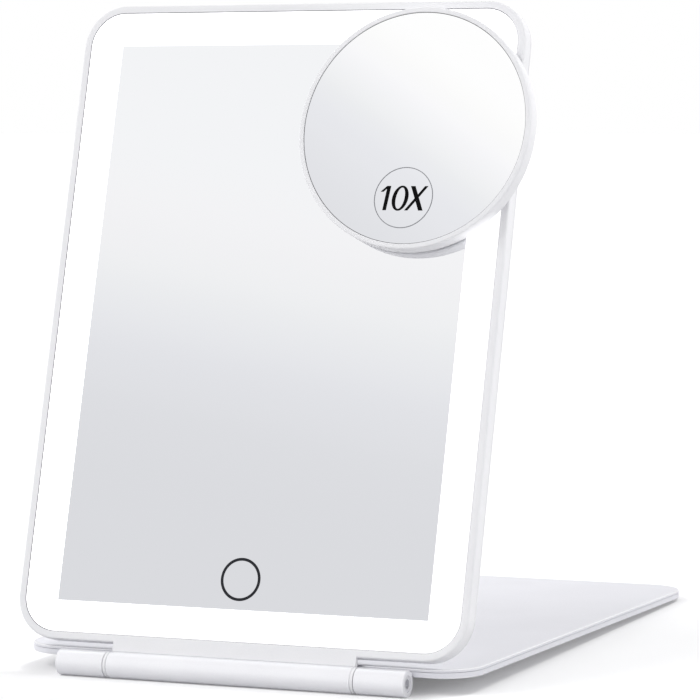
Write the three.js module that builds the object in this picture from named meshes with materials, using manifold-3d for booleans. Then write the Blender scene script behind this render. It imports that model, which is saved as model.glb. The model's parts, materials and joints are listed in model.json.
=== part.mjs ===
import * as THREE from 'three';
import { mergeVertices } from 'three/addons/utils/BufferGeometryUtils.js';
import Module from 'manifold-3d';

// Folding travel mirror. A lit mirror panel is hinged along its foot to a flat cover of the same size:
// the cover folds under and behind the panel as its stand, or round to the front over the glass.
// A small round magnifier is held on the glass by a suction cup.
// Millimetres, X to the right, Y to the back, Z up. The model is centred over the origin and stands on Z = 0.

// Panel case
const panelWidth = 178;
const panelHeight = 240;
const panelDepth = 7;
const panelCorner = 16;
const leanDegrees = 16.6;
const faceAhead = 0.3; // front face ahead of the hinge axis
const caseClearance = 3.3; // foot of the case above the barrel
const borderWidth = 2.8; // frame showing round the lit band
const ledgeWidth = 1.5; // step behind the band that carries it
const frontRound = 0.8;
const rearWall = 1.2;
const rearRound = 0.5;
const lipHeight = 0.9;
const lipWall = 1;

// Front sheet: mirror in the middle, frosted band round it
const sheetThickness = 2;
const bandSide = 13.1;
const bandTop = 12.7;
const bandBottom = 11.5;
const touchRingRadius = 7.3;
const touchRingWidth = 1.1;
const touchRingThickness = 0.1;
const touchRingRise = 10.8; // ring centre above the foot of the mirror

// Clearances
const layerGap = 0.15; // between stacked flat pieces
const seamGap = 0.3; // line between the frame and the lit band
const fitGap = 0.3; // round pieces that sit in pockets
const mirrorSeam = 0.1;
const printGap = 0.08; // print off the glass
const turnGap = 0.1; // between pieces that turn on each other, end to end

// Inside the panel
const chassisPlate = 0.8;
const chassisWall = 1;
const chassisOverlap = 2; // chassis beyond the edge of the mirror
const stripWidth = 6.4;
const stripThickness = 0.4;
const ledSize = 2.8;
const ledHeight = 0.7;
const ledPitch = 13;
const batteryWidth = 62;
const batteryHeight = 92;
const batteryDepth = 2.2;
const batteryRise = 92; // above the foot of the case
const batterySeal = 3;
const sealThickness = 0.5;
const boardThickness = 0.8;
const boardRise = 16; // above the foot of the case
const boardHeight = 22;
const boardRight = 14; // past the middle of the case
const boardBackGap = 0.4;
const notchMargin = 0.5;
const caseMagnetRadius = 4;
const caseMagnetThickness = 2;
const magnetInset = 23; // from the side of the case
const magnetDrop = 26; // below the top of the case
const sensorRadius = 6.5;
const sensorThickness = 0.5;
const sensorPostRadius = 2.5;
const leadRadius = 0.5;
const leadSpread = 5;
const leadSway = 7;
const leadStraight = 12; // straight run at each end of the battery leads

// Charging socket in the left wall
const socketWidth = 8.9;
const socketHeight = 2.9;
const socketLength = 7.3;
const socketCorner = 1.4;
const socketWall = 0.35;
const socketInset = 0.8;
const socketRise = 27; // above the foot of the case
const socketLedge = 0.35; // wall in front of it
const tongueWidth = 6.4;
const tongueThickness = 0.7;
const tongueSetback = 0.9;
const plugLength = 6;
const plugWidth = 3.5;
const controllerSize = 5;
const coilSize = 4;
const chipHeight = 0.9;

// Screws that close the case
const bossRadius = 3;
const bossInset = 9;
const caseScrewHead = 1.7;
const caseScrewHeadHeight = 0.6;
const caseScrewShank = 0.8;
const caseScrewLength = 3.6;
const crossWidth = 0.4;
const crossReach = 1; // arm of the cross, from the middle
const crossDepth = 0.35;
const headSink = 0.1; // head below the face round it

// Hinge
const barrelRadius = 4.8;
const barrelBore = 3;
const barrelChamfer = 0.35;
const hingeInset = 20.5; // end barrels from the sides of the case
const knuckleLength = 19;
const washerThickness = 1.3;
const washerInset = 0.25; // washer smaller than the barrel
const tongueGap = 0.3; // case tongue to the barrel
const tongueDepth = 1.9;
const tangInset = 8; // from the ends of the centre barrel
const tangThickness = 1.2;
const tangDepthInCase = 3.6;
const tangScrewInset = 10; // from the ends of the tang
const tangScrewHead = 1.3;
const tangScrewRise = 2.15; // screws above the foot of the case
const tangScrewHeadHeight = 0.6;
const tangScrewShank = 0.8;
const pinRadius = 1.75;
const pinPast = 0.7; // pin beyond the inner end of its sleeve
const sleeveGap = 0.2; // pin to sleeve
const sleeveLength = 18;
const sleeveSlit = 0.8;
const grubLength = 6;
const grubRecess = 0.5;
const hexAcrossCorners = 3.5;
const hexDepth = 3;
const hexSides = 6;

// Cover that serves as the stand
const coverGap = 0.4; // front edge to the barrel
const coverSkin = 1.1;
const coverShell = 2.1;
const coverRound = 0.4;
const leafInset = 0.5; // leaf narrower than its barrel, each side
const leafThickness = 1.2;
const leafReach = 14; // into the cover
const leafFloor = 0.75; // shell left under the leaf
const coverMagnetRadius = 4;
const coverMagnetThickness = 1.2;
const footWidth = 46;
const footLength = 7;
const footHeight = 1.1;
const footRecess = 0.4;
const footInset = 31; // foot centre from the side of the cover
const footSetback = 12; // foot centre from the back edge

// Magnifier
const magnifierRadius = 45;
const magnifierInset = 36.7; // centre from the right side of the case
const magnifierDrop = 49.3; // centre below the top of the case
const magnifierGap = 0.9; // back of the housing off the glass
const magnifierDepth = 7.9; // front of the rim off the glass
const magnifierWall = 1.6;
const magnifierBack = 1.1;
const rimWidth = 2;
const rimThickness = 0.7;
const rimRound = 0.35;
const lensEdge = 2.8;
const lensSag = 1.5; // depth of the hollow in the front of the lens
const lensGap = 0.2;
const lensSeat = 3;
const housingRound = 0.8;
const cupRadius = 17;
const cupHollow = 1.2;
const cupLip = 0.5;
const cupRoom = 2; // free edge round the cup
const cupRoof = 2.6;
const roofWall = 0.9;
const cupNeck = 2;
const cupHead = 3.2;
const cupHeadHeight = 0.25;

// Facets
const cornerSteps = 4; // an arc gets twice as many facets
const barrelSides = 32;
const smallSides = 14;
const discSides = 48;
const bevelSteps = 2;
const lensSteps = 4;
const leadSteps = 8;
const leadFacets = 4; // a round section gets twice as many
const weldTolerance = 1e-5;
const cutPast = 1; // a cutter reaches this far past what it cuts
const joinSink = 0.2; // joined solids share this much

const wasm = await Module();
wasm.setup();

// Places that several pieces share, in the panel's own axes: X, Y to the back, Z up from the hinge axis
const lean = THREE.MathUtils.degToRad(leanDegrees);
const faceY = -faceAhead;
const backY = faceY + panelDepth;
const sheetBack = faceY + sheetThickness;
const ledgeFront = sheetBack + layerGap;
const rearInner = backY - rearWall;
const frameBack = rearInner - layerGap;
const panelRise = barrelRadius + caseClearance;
const panelTop = panelRise + panelHeight;
const wallInset = borderWidth + ledgeWidth;
const innerX = panelWidth / 2 - wallInset;
const innerFoot = panelRise + wallInset;
const innerTop = panelTop - wallInset;
const mirrorX = panelWidth / 2 - borderWidth - seamGap - bandSide;
const mirrorFoot = panelRise + borderWidth + seamGap + bandBottom;
const mirrorTop = panelTop - borderWidth - seamGap - bandTop;
const chassisX = mirrorX + chassisOverlap;
const chassisFoot = mirrorFoot - chassisOverlap;
const chassisTop = mirrorTop + chassisOverlap;
const bayFront = ledgeFront + chassisPlate;
const bayBack = rearInner - layerGap;
const batteryFoot = panelRise + batteryRise;
const boardFoot = panelRise + boardRise;
const boardBack = rearInner - boardBackGap;
const boardFront = boardBack - boardThickness;
const boardLeft = -innerX + lipWall + layerGap + notchMargin;
const touchZ = mirrorFoot + touchRingRise;
const socketSlotFront = ledgeFront + socketLedge;
const socketMiddle = socketSlotFront + layerGap + socketHeight / 2;
const socketZ = panelRise + socketRise;
const socketMouth = -panelWidth / 2 + socketInset;
const screwX = panelWidth / 2 - bossInset;
const screwLow = panelRise + bossInset;
const screwHigh = panelTop - bossInset;
const magnetX = panelWidth / 2 - magnetInset;
const magnetZ = panelTop - magnetDrop;
const magnifierX = panelWidth / 2 - magnifierInset;
const magnifierZ = panelTop - magnifierDrop;

// Places along the hinge
const centreHalf = panelWidth / 2 - hingeInset - knuckleLength - washerThickness - 2 * turnGap;
const knuckleStart = centreHalf + turnGap + washerThickness + turnGap;
const knuckleEnd = knuckleStart + knuckleLength;
const grubEnd = knuckleEnd - grubRecess;
const plugRadius = barrelBore - fitGap; // pin root and set screw
const pinStart = centreHalf - fitGap - sleeveLength - pinPast;
const pinRootStart = knuckleStart + fitGap;
const pinRootEnd = grubEnd - grubLength - fitGap;
const tangHalf = centreHalf - tangInset;
const tangFront = faceY + tongueDepth + fitGap;
const tangTop = panelRise + tangDepthInCase;
const tangScrewZ = panelRise + tangScrewRise;
const tangHeadFront = frameBack - tangScrewHeadHeight - layerGap;

// Places in the cover's own axes: X, Y away from the hinge, Z square to the cover. It is as large as the case
const coverStart = barrelRadius + coverGap;
const coverTop = barrelRadius;
const skinUnder = coverTop - coverSkin;
const shellTop = skinUnder - layerGap;
const coverUnder = shellTop - coverShell;
const footY = panelTop - footSetback;
const footX = panelWidth / 2 - footInset;
const magnetFloor = shellTop - coverMagnetThickness;
const leafUnder = coverUnder + leafFloor + layerGap;
const footUnder = coverUnder - footHeight;
const slope = Math.asin(barrelRadius / Math.hypot(footY, footUnder)) + Math.atan(footUnder / footY);

// Heights off the glass and radii of the magnifier's pieces
const rimBack = magnifierDepth - rimThickness;
const rimInner = magnifierRadius - rimWidth;
const housingFront = rimBack - layerGap;
const housingInner = magnifierRadius - magnifierWall;
const housingFloor = magnifierGap + magnifierBack;
const lensBack = housingFront - lensEdge;
const lensRadius = housingInner - lensGap;
const seatHeight = lensBack - layerGap;
const cupRecess = cupRadius + cupRoom;
const roofTop = cupRoof + roofWall;

function toSolid(geometry) {
  const bare = geometry.clone();
  bare.deleteAttribute('normal');
  bare.deleteAttribute('uv');
  const merged = mergeVertices(bare, weldTolerance);
  const vertProperties = new Float32Array(merged.attributes.position.array);
  const triVerts = new Uint32Array(merged.index.array);
  return new wasm.Manifold(new wasm.Mesh({ numProp: 3, vertProperties, triVerts }));
}

function toGeometry(solid) {
  const { vertProperties, triVerts } = solid.getMesh();
  const geometry = new THREE.BufferGeometry();
  geometry.setAttribute('position', new THREE.BufferAttribute(vertProperties, 3));
  geometry.setIndex(new THREE.BufferAttribute(triVerts, 1));
  return geometry;
}

function join(first, ...others) {
  const whole = others.reduce((solid, other) => solid.add(toSolid(other)), toSolid(first));
  return toGeometry(whole);
}

function cut(base, ...cutters) {
  const rest = cutters.reduce((solid, cutter) => solid.subtract(toSolid(cutter)), toSolid(base));
  return toGeometry(rest);
}

// A box between two corners
function block([x0, x1], [y0, y1], [z0, z1]) {
  const box = new THREE.BoxGeometry(x1 - x0, y1 - y0, z1 - z0);
  return box.translate((x0 + x1) / 2, (y0 + y1) / 2, (z0 + z1) / 2);
}

function roundedRectangle([x0, x1], [y0, y1], radius) {
  const shape = new THREE.Shape();
  shape.moveTo(x0 + radius, y0);
  shape.lineTo(x1 - radius, y0);
  shape.absarc(x1 - radius, y0 + radius, radius, -Math.PI / 2, 0);
  shape.lineTo(x1, y1 - radius);
  shape.absarc(x1 - radius, y1 - radius, radius, 0, Math.PI / 2);
  shape.lineTo(x0 + radius, y1);
  shape.absarc(x0 + radius, y1 - radius, radius, Math.PI / 2, Math.PI);
  shape.lineTo(x0, y0 + radius);
  shape.absarc(x0 + radius, y0 + radius, radius, Math.PI, Math.PI * 1.5);
  return shape;
}

// A flat shape given thickness from low to high along Z
function slab(shape, low, high) {
  const plate = new THREE.ExtrudeGeometry(shape, {
    depth: high - low,
    curveSegments: cornerSteps,
    bevelEnabled: false,
  });
  return plate.translate(0, 0, low);
}

// The same with its upper edge rounded: both edges are rounded on a thicker slab, then its foot is cut off
function crownedSlab(shape, low, high, round) {
  const plate = new THREE.ExtrudeGeometry(shape, {
    depth: high - low,
    curveSegments: cornerSteps,
    bevelEnabled: true,
    bevelThickness: round,
    bevelSize: round,
    bevelOffset: -round,
    bevelSegments: bevelSteps,
  });
  const reach = panelWidth + panelTop;
  const foot = block([-reach, reach], [-reach, reach], [low - 2 * round - cutPast, low]);
  return cut(plate.translate(0, 0, low - round), foot);
}

// Slabs in the plane of the panel: the shape lies in X and Z, the thickness runs from front to back
function panelSlab(shape, front, back) {
  return slab(shape, -back, -front).rotateX(Math.PI / 2);
}

function panelSlabRoundedInFront(shape, front, back, round) {
  return crownedSlab(shape, -back, -front, round).rotateX(Math.PI / 2);
}

// Drawn face down and turned over about the middle of the case, which is alike on both sides
function panelSlabRoundedBehind(shape, front, back, round) {
  const middleZ = panelRise + panelHeight / 2;
  const plate = crownedSlab(shape, front, back, round);
  return plate.translate(0, -middleZ, 0).rotateX(-Math.PI / 2).translate(0, 0, middleZ);
}

// The outline of the case, drawn in by `inset`
function caseOutline(inset) {
  const half = panelWidth / 2 - inset;
  const radius = Math.max(panelCorner - inset, fitGap);
  return roundedRectangle([-half, half], [panelRise + inset, panelTop - inset], radius);
}

function coverOutline() {
  return roundedRectangle([-panelWidth / 2, panelWidth / 2], [coverStart, panelTop], panelCorner);
}

function rodAlongX(radius, [x0, x1], sides = barrelSides) {
  const rod = new THREE.CylinderGeometry(radius, radius, x1 - x0, sides).rotateZ(Math.PI / 2);
  return rod.translate((x0 + x1) / 2, 0, 0);
}

function rodAlongY(radius, x, [y0, y1], z, sides = smallSides) {
  const rod = new THREE.CylinderGeometry(radius, radius, y1 - y0, sides);
  return rod.translate(x, (y0 + y1) / 2, z);
}

function rodAlongZ(radius, x, y, [z0, z1], sides = smallSides) {
  const rod = new THREE.CylinderGeometry(radius, radius, z1 - z0, sides).rotateX(Math.PI / 2);
  return rod.translate(x, y, (z0 + z1) / 2);
}

// A profile of [radius, height] points turned round Y
function turned(profile, sides) {
  return new THREE.LatheGeometry(profile.map(([r, h]) => new THREE.Vector2(r, h)), sides);
}

// A plain ring along X
function ringAlongX(outer, bore, [x0, x1], sides) {
  const profile = [[bore, x0], [outer, x0], [outer, x1], [bore, x1], [bore, x0]];
  return turned(profile, sides).rotateZ(-Math.PI / 2);
}

// A length of the hinge barrel, its outer ends chamfered
function barrel([x0, x1]) {
  const profile = [
    [barrelBore, x0],
    [barrelRadius - barrelChamfer, x0],
    [barrelRadius, x0 + barrelChamfer],
    [barrelRadius, x1 - barrelChamfer],
    [barrelRadius - barrelChamfer, x1],
    [barrelBore, x1],
    [barrelBore, x0],
  ];
  return turned(profile, barrelSides).rotateZ(-Math.PI / 2);
}

function finish(colour, roughness, metalness = 0) {
  return new THREE.MeshStandardMaterial({ color: colour, roughness, metalness });
}

const finishes = {
  caseWhite: () => finish('#e9e9eb', 0.38),
  mirror: () => finish('#dfe1e5', 0.03, 1),
  band: () => finish('#ffffff', 0.45),
  black: () => finish('#202125', 0.4),
  innerWhite: () => finish('#f4f4f2', 0.6),
  pouch: () => finish('#b9bcc2', 0.35, 0.4),
  board: () => finish('#1f5a3c', 0.5),
  strip: () => finish('#f2efe2', 0.5),
  steel: () => finish('#b4b6ba', 0.3, 1),
  barrel: () => finish('#eeeef2', 0.32, 0.3),
  cover: () => finish('#e3e3e8', 0.4, 0.2),
  washer: () => finish('#c9c9ce', 0.5),
  rubber: () => finish('#dcdce0', 0.8),
  clearRubber: () => finish('#e6ebee', 0.25),
  copper: () => finish('#c98a5a', 0.35, 1),
  redWire: () => finish('#b3262a', 0.5),
  blackWire: () => finish('#222326', 0.5),
};

function part(name, geometry, material) {
  const mesh = new THREE.Mesh(geometry, material);
  mesh.name = name;
  return mesh;
}

// Frame round the front, with its ledge, screw bosses and the tongue that reaches down to the barrel
function frontFrame() {
  const shell = panelSlabRoundedInFront(caseOutline(0), faceY, frameBack, frontRound);
  const window = panelSlab(caseOutline(borderWidth), faceY - cutPast, ledgeFront);
  const bay = panelSlab(caseOutline(wallInset), ledgeFront - cutPast, frameBack + cutPast);
  const ring = cut(shell, window, bay);
  const bosses = screwPlaces().map(([x, z]) => rodAlongY(bossRadius, x, [ledgeFront, frameBack], z));
  const pilotEnd = backY - headSink - caseScrewLength - fitGap;
  const pilots = screwPlaces().map(([x, z]) => (
    rodAlongY(caseScrewShank + fitGap, x, [pilotEnd, frameBack + cutPast], z)));
  const whole = join(ring, barrelTongue(), ...bosses);
  return cut(whole, ...pilots, ...tangRooms(), socketRoom(-innerX + cutPast, frameBack + cutPast));
}

// Lip of the case that runs down to the centre barrel, hollowed to clear it
function barrelTongue() {
  const lipTop = panelRise + borderWidth / 2;
  const lip = block([-centreHalf, centreHalf], [faceY, faceY + tongueDepth], [0, lipTop]);
  const across = [-centreHalf - cutPast, centreHalf + cutPast];
  const belowBarrelTop = block(across, [faceY - cutPast, backY], [-cutPast, barrelRadius / 2]);
  return cut(lip, rodAlongX(barrelRadius + tongueGap, across), belowBarrelTop);
}

// Pocket for the hinge's tang, with a stepped hole for each of its screws
function tangRooms() {
  const pocket = block(
    [-tangHalf - fitGap, tangHalf + fitGap],
    [tangFront - fitGap, tangFront + tangThickness + fitGap],
    [panelRise - cutPast, tangTop + fitGap]);
  const shanks = tangScrewPlaces().map((x) => (
    rodAlongY(tangScrewShank + fitGap, x, [tangFront, frameBack + cutPast], tangScrewZ)));
  const heads = tangScrewPlaces().map((x) => (
    rodAlongY(tangScrewHead + fitGap, x, [tangHeadFront - layerGap, frameBack + cutPast], tangScrewZ)));
  return [pocket, ...shanks, ...heads];
}

// Slot for the charging socket, from outside the left wall to x and y
function socketRoom(x, y) {
  return block(
    [-panelWidth / 2 - cutPast, x],
    [socketSlotFront, y],
    [socketZ - socketWidth / 2 - fitGap, socketZ + socketWidth / 2 + fitGap]);
}

function screwPlaces() {
  return [[-screwX, screwLow], [screwX, screwLow], [-screwX, screwHigh], [screwX, screwHigh]];
}

function tangScrewPlaces() {
  const outer = tangHalf - tangScrewInset;
  return [-outer, 0, outer];
}

// Back of the case, with a lip that locates it inside the frame
function rearCover() {
  const plate = panelSlabRoundedBehind(caseOutline(0), rearInner, backY, rearRound);
  const lipOuter = wallInset + layerGap;
  const lipBody = panelSlab(caseOutline(lipOuter), rearInner - lipHeight, rearInner + joinSink);
  const lipInside = panelSlab(
    caseOutline(lipOuter + lipWall), rearInner - lipHeight - cutPast, rearInner + joinSink + cutPast);
  const bossRooms = screwPlaces().map(([x, z]) => (
    rodAlongY(bossRadius + fitGap, x, [rearInner - lipHeight - cutPast, rearInner], z)));
  const lip = cut(lipBody, lipInside, ...bossRooms, socketRoom(-innerX + lipWall + cutPast, rearInner));
  const shankHoles = screwPlaces().map(([x, z]) => (
    rodAlongY(caseScrewShank + fitGap, x, [rearInner - cutPast, backY + cutPast], z)));
  const headRooms = screwPlaces().map(([x, z]) => (
    rodAlongY(caseScrewHead + fitGap, x, [backY - caseScrewHeadHeight - layerGap, backY + cutPast], z)));
  return cut(join(plate, lip), ...shankHoles, ...headRooms);
}

function mirrorGlass() {
  return block([-mirrorX, mirrorX], [faceY, sheetBack], [mirrorFoot, mirrorTop]);
}

function lightBand() {
  const sheet = panelSlab(caseOutline(borderWidth + seamGap), faceY, sheetBack);
  const hole = block(
    [-mirrorX - mirrorSeam, mirrorX + mirrorSeam],
    [faceY - cutPast, sheetBack + cutPast],
    [mirrorFoot - mirrorSeam, mirrorTop + mirrorSeam]);
  return cut(sheet, hole);
}

// Ring printed on the glass over the touch sensor
function touchRing() {
  const back = faceY - printGap;
  const profile = [
    [touchRingRadius - touchRingWidth / 2, back - touchRingThickness],
    [touchRingRadius + touchRingWidth / 2, back - touchRingThickness],
    [touchRingRadius + touchRingWidth / 2, back],
    [touchRingRadius - touchRingWidth / 2, back],
    [touchRingRadius - touchRingWidth / 2, back - touchRingThickness],
  ];
  return turned(profile, barrelSides).translate(0, 0, touchZ);
}

// Disc of foil behind the glass with the post that carries it off the board
function touchSensor() {
  const disc = rodAlongY(sensorRadius, 0, [ledgeFront, ledgeFront + sensorThickness], touchZ);
  const post = rodAlongY(
    sensorPostRadius, 0, [ledgeFront + sensorThickness - joinSink, boardFront - layerGap], touchZ);
  return join(disc, post);
}

// Inner tray: carries the mirror and walls the lamps off from the bay behind it
function chassis() {
  const body = block([-chassisX, chassisX], [ledgeFront, bayBack], [chassisFoot, chassisTop]);
  const bay = block(
    [-chassisX + chassisWall, chassisX - chassisWall],
    [bayFront, bayBack + cutPast],
    [chassisFoot + chassisWall, chassisTop - chassisWall]);
  const sensorHole = rodAlongY(sensorRadius + fitGap, 0, [ledgeFront - cutPast, bayFront + cutPast], touchZ);
  const boardNotch = block(
    [-chassisX - cutPast, -chassisX + chassisWall + cutPast],
    [bayFront, bayBack + cutPast],
    [boardFoot - notchMargin, boardFoot + boardHeight + notchMargin]);
  return cut(body, bay, sensorHole, boardNotch);
}

// Flexible strip with its row of lamps facing the band
function lightStrip(centreX, centreZ, length, upright) {
  const back = bayBack;
  const front = back - stripThickness;
  const halfX = (upright ? stripWidth : length) / 2;
  const halfZ = (upright ? length : stripWidth) / 2;
  const tape = block([centreX - halfX, centreX + halfX], [front, back], [centreZ - halfZ, centreZ + halfZ]);
  const count = Math.floor((length - ledSize) / ledPitch) + 1;
  const halfLed = ledSize / 2;
  const lamps = Array.from({ length: count }, (_, index) => {
    const along = (index - (count - 1) / 2) * ledPitch;
    const x = centreX + (upright ? 0 : along);
    const z = centreZ + (upright ? along : 0);
    const depths = [front - ledHeight, front + joinSink];
    return block([x - halfLed, x + halfLed], depths, [z - halfLed, z + halfLed]);
  });
  return join(tape, ...lamps);
}

function stripPlaces() {
  const lip = layerGap + lipWall;
  const sideX = (chassisX + innerX - lip) / 2;
  const low = panelRise + panelCorner;
  const high = panelTop - panelCorner;
  const leftLow = boardFoot + boardHeight + leadSpread;
  const acrossLength = panelWidth - 2 * panelCorner;
  return [
    ['led_strip_left', -sideX, (leftLow + high) / 2, high - leftLow, true],
    ['led_strip_right', sideX, (low + high) / 2, high - low, true],
    ['led_strip_top', 0, (chassisTop + innerTop - lip) / 2, acrossLength, false],
    ['led_strip_bottom', 0, (chassisFoot + innerFoot + lip) / 2, acrossLength, false],
  ];
}

function battery() {
  const front = bayFront + layerGap;
  const across = [-batteryWidth / 2, batteryWidth / 2];
  const cell = block(across, [front, front + batteryDepth], [batteryFoot, batteryFoot + batteryHeight]);
  const middle = front + batteryDepth / 2;
  const seal = block(
    across,
    [middle - sealThickness / 2, middle + sealThickness / 2],
    [batteryFoot - batterySeal, batteryFoot + joinSink]);
  return join(cell, seal);
}

// Circuit board with a notch for the charging socket and its larger components
function mainBoard() {
  const top = boardFoot + boardHeight;
  const sheet = block([boardLeft, boardRight], [boardFront, boardBack], [boardFoot, top]);
  const socketNotch = block(
    [boardLeft - cutPast, socketMouth + socketLength + fitGap],
    [boardFront - cutPast, boardBack + cutPast],
    [socketZ - socketWidth / 2 - fitGap, socketZ + socketWidth / 2 + fitGap]);
  const chips = chipPlaces().map(([x, z, width, height]) => block(
    [x - width / 2, x + width / 2],
    [boardFront - chipHeight, boardFront + joinSink],
    [z - height / 2, z + height / 2]));
  return join(cut(sheet, socketNotch), ...chips);
}

// Components on the board: centre, then length along X and along Z
function chipPlaces() {
  const middle = boardFoot + boardHeight / 2;
  const controllerX = (boardLeft + boardRight) / 2;
  return [
    [controllerX, middle, controllerSize, controllerSize],
    [controllerX - 2 * controllerSize, middle, coilSize, coilSize],
    [-leadSway, boardFoot + boardHeight - plugWidth, plugLength, plugWidth],
  ];
}

function socketSection(inset) {
  const halfWidth = socketWidth / 2 - inset;
  const halfHeight = socketHeight / 2 - inset;
  return roundedRectangle([-halfHeight, halfHeight], [-halfWidth, halfWidth], socketCorner - inset);
}

// Charging socket: a rounded metal shell, open to the left, with its contact tongue
function chargingSocket() {
  const alongX = (geometry) => geometry.rotateX(Math.PI / 2).rotateZ(Math.PI / 2);
  const shell = alongX(slab(socketSection(0), 0, socketLength));
  const hollow = alongX(slab(socketSection(socketWall), -cutPast, socketLength - socketWall));
  const tongue = block(
    [tongueSetback, socketLength - socketWall],
    [-tongueThickness / 2, tongueThickness / 2],
    [-tongueWidth / 2, tongueWidth / 2]);
  return join(cut(shell, hollow), tongue).translate(socketMouth, socketMiddle, socketZ);
}

// A screw along Y with its head at the back, the outer face of the head at zero
function screw(headRadius, headHeight, shankRadius, length) {
  const profile = [
    [0, -length],
    [shankRadius, -length],
    [shankRadius, -headHeight],
    [headRadius, -headHeight],
    [headRadius, 0],
    [0, 0],
  ];
  const body = turned(profile, smallSides);
  const bars = [[crossReach, crossWidth / 2], [crossWidth / 2, crossReach]];
  const slots = bars.map(([x, z]) => block([-x, x], [-crossDepth, cutPast], [-z, z]));
  return cut(body, ...slots);
}

function caseScrew(x, z) {
  const head = screw(caseScrewHead, caseScrewHeadHeight, caseScrewShank, caseScrewLength);
  return head.translate(x, backY - headSink, z);
}

function tangScrew(x) {
  const headBack = tangHeadFront + tangScrewHeadHeight;
  const body = screw(tangScrewHead, tangScrewHeadHeight, tangScrewShank, headBack - tangFront - fitGap);
  return body.translate(x, headBack, tangScrewZ);
}

function caseMagnet(side) {
  const front = bayFront + layerGap;
  return rodAlongY(caseMagnetRadius, side * magnetX, [front, front + caseMagnetThickness], magnetZ);
}

function tubeAlong(points, radius) {
  const section = new THREE.Shape().absarc(0, 0, radius, 0, 2 * Math.PI);
  return new THREE.ExtrudeGeometry(section, {
    steps: leadSteps,
    curveSegments: leadFacets,
    extrudePath: new THREE.CatmullRomCurve3(points),
  });
}

// Lead from the board up to the foot of the battery
function batteryLead(side) {
  const y = (boardFront + boardBack) / 2 - joinSink;
  const x = side * leadSpread / 2;
  const low = boardFoot + boardHeight + layerGap;
  const high = batteryFoot - batterySeal - layerGap;
  const sideStep = -leadSway + x;
  const points = [
    new THREE.Vector3(sideStep, y, low),
    new THREE.Vector3(sideStep, y, low + leadStraight),
    new THREE.Vector3(x, y, high - leadStraight),
    new THREE.Vector3(x, y, high),
  ];
  return tubeAlong(points, leadRadius);
}

// Short lead from the board to the foot of the left strip
function stripLead() {
  const y = (boardFront + boardBack) / 2 - joinSink;
  const [, x, centreZ, length] = stripPlaces()[0];
  const low = boardFoot + boardHeight + layerGap;
  const high = centreZ - length / 2 - layerGap;
  return tubeAlong([new THREE.Vector3(x, y, low), new THREE.Vector3(x, y, high)], leadRadius);
}

// Middle barrel of the hinge with the tang that goes up into the case
function hingeCentre() {
  const tube = barrel([-centreHalf, centreHalf]);
  const tang = block([-tangHalf, tangHalf], [tangFront, tangFront + tangThickness], [barrelBore, tangTop]);
  const through = [tangFront - cutPast, tangFront + tangThickness + cutPast];
  const holes = tangScrewPlaces().map((x) => (
    rodAlongY(tangScrewShank + fitGap, x, through, tangScrewZ)));
  return cut(join(tube, tang), ...holes);
}

function frictionSleeve(side) {
  const end = centreHalf - fitGap;
  const start = end - sleeveLength;
  const ring = ringAlongX(barrelBore - layerGap, pinRadius + sleeveGap, [start, end], smallSides);
  const slit = block([start - cutPast, end + cutPast], [0, barrelRadius], [-sleeveSlit / 2, sleeveSlit / 2]);
  return mirrored(cut(ring, slit), side);
}

// Pieces drawn for the right-hand end of the hinge are turned end for end for the left
function mirrored(geometry, side) {
  return side > 0 ? geometry : geometry.rotateZ(Math.PI);
}

function hingePin(side) {
  const profile = [
    [0, pinStart],
    [pinRadius, pinStart],
    [pinRadius, pinRootStart],
    [plugRadius, pinRootStart],
    [plugRadius, pinRootEnd],
    [0, pinRootEnd],
  ];
  return mirrored(turned(profile, smallSides).rotateZ(-Math.PI / 2), side);
}

function hingeWasher(side) {
  const start = centreHalf + turnGap;
  const outer = barrelRadius - washerInset;
  const inner = pinRadius + fitGap;
  return mirrored(ringAlongX(outer, inner, [start, start + washerThickness], barrelSides), side);
}

// End barrel, fixed to the cover by a leaf that slides in between its two layers
function knuckle(side) {
  const tube = barrel([knuckleStart, knuckleEnd]);
  const middle = (knuckleStart + knuckleEnd) / 2;
  const leaf = block(
    [knuckleStart + leafInset, knuckleEnd - leafInset],
    [(barrelRadius + barrelBore) / 2, coverStart + leafReach],
    [leafUnder, leafUnder + leafThickness]);
  const whole = cut(join(tube, leaf), rodAlongX(barrelBore, [knuckleStart - cutPast, knuckleEnd + cutPast]));
  return side > 0 ? whole : whole.translate(-2 * middle, 0, 0);
}

// Set screw with a hexagon socket that closes the end of the barrel
function grubScrew(side) {
  const body = rodAlongX(plugRadius, [grubEnd - grubLength, grubEnd], smallSides);
  const socket = rodAlongX(hexAcrossCorners / 2, [grubEnd - hexDepth, grubEnd + cutPast], hexSides);
  return mirrored(cut(body, socket), side);
}

function coverSkinPlate() {
  return crownedSlab(coverOutline(), skinUnder, coverTop, coverRound);
}

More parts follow.
